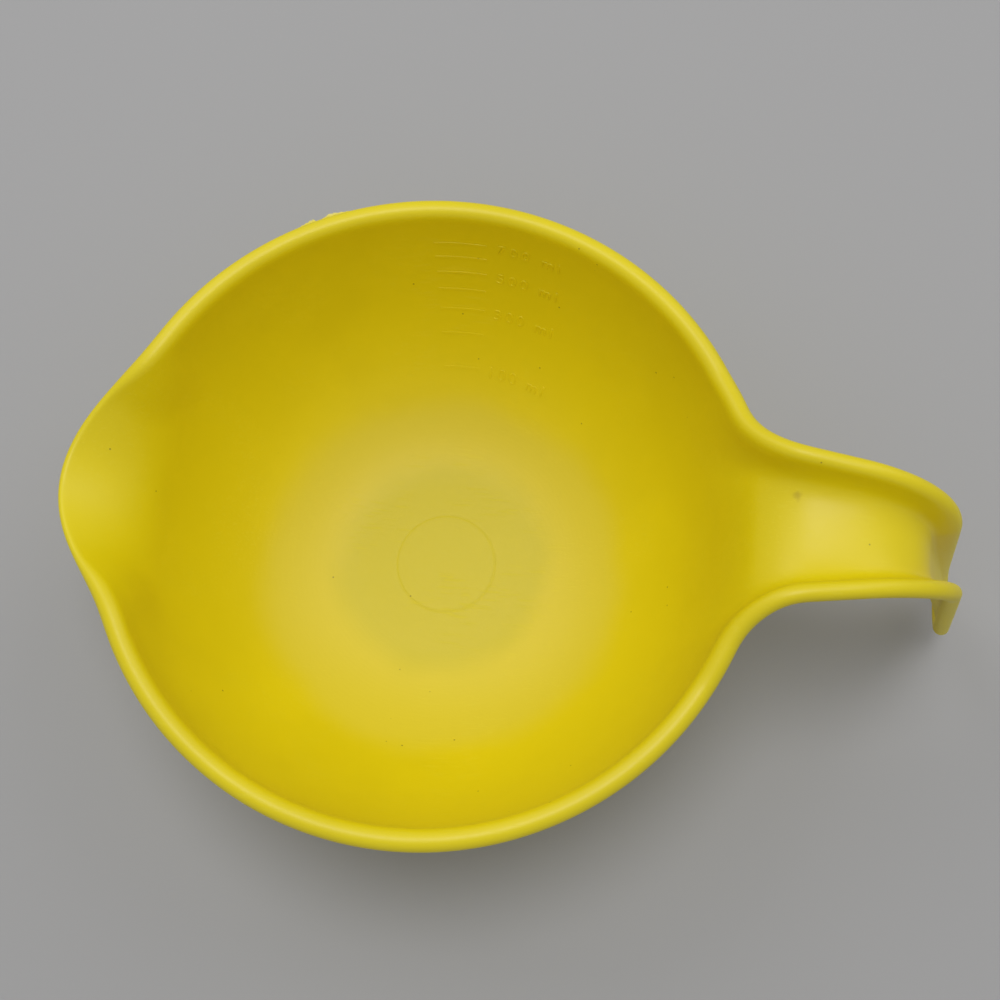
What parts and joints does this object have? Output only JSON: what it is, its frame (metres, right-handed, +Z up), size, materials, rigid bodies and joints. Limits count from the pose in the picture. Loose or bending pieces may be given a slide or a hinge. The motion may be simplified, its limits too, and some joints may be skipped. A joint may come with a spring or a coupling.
{
  "type": "mixing bowl with spout",
  "caption": "Round moulded mixing bowl with a beaded rim, a flared pouring spout and a channel handle that arches over into a downturned grip.",
  "frame": {"origin": "centre of the flat standing face under the bowl", "axes": "+Z up along the bowl's axis, +X out along the handle, the spout points along -X"},
  "size_m": [0.2358, 0.1616, 0.0853],
  "materials": {
    "bowl_plastic": "satin, lemon yellow through the material"
  },
  "bodies": {
    "root": {"bowl_floor": "bowl_plastic", "lower_wall": "bowl_plastic", "upper_wall_far": "bowl_plastic", "upper_wall_near": "bowl_plastic", "rim_bead_far": "bowl_plastic", "rim_bead_near": "bowl_plastic", "pouring_spout": "bowl_plastic", "handle_root": "bowl_plastic", "handle_arm": "bowl_plastic", "handle_grip": "bowl_plastic"}
  },
  "joints": []
}
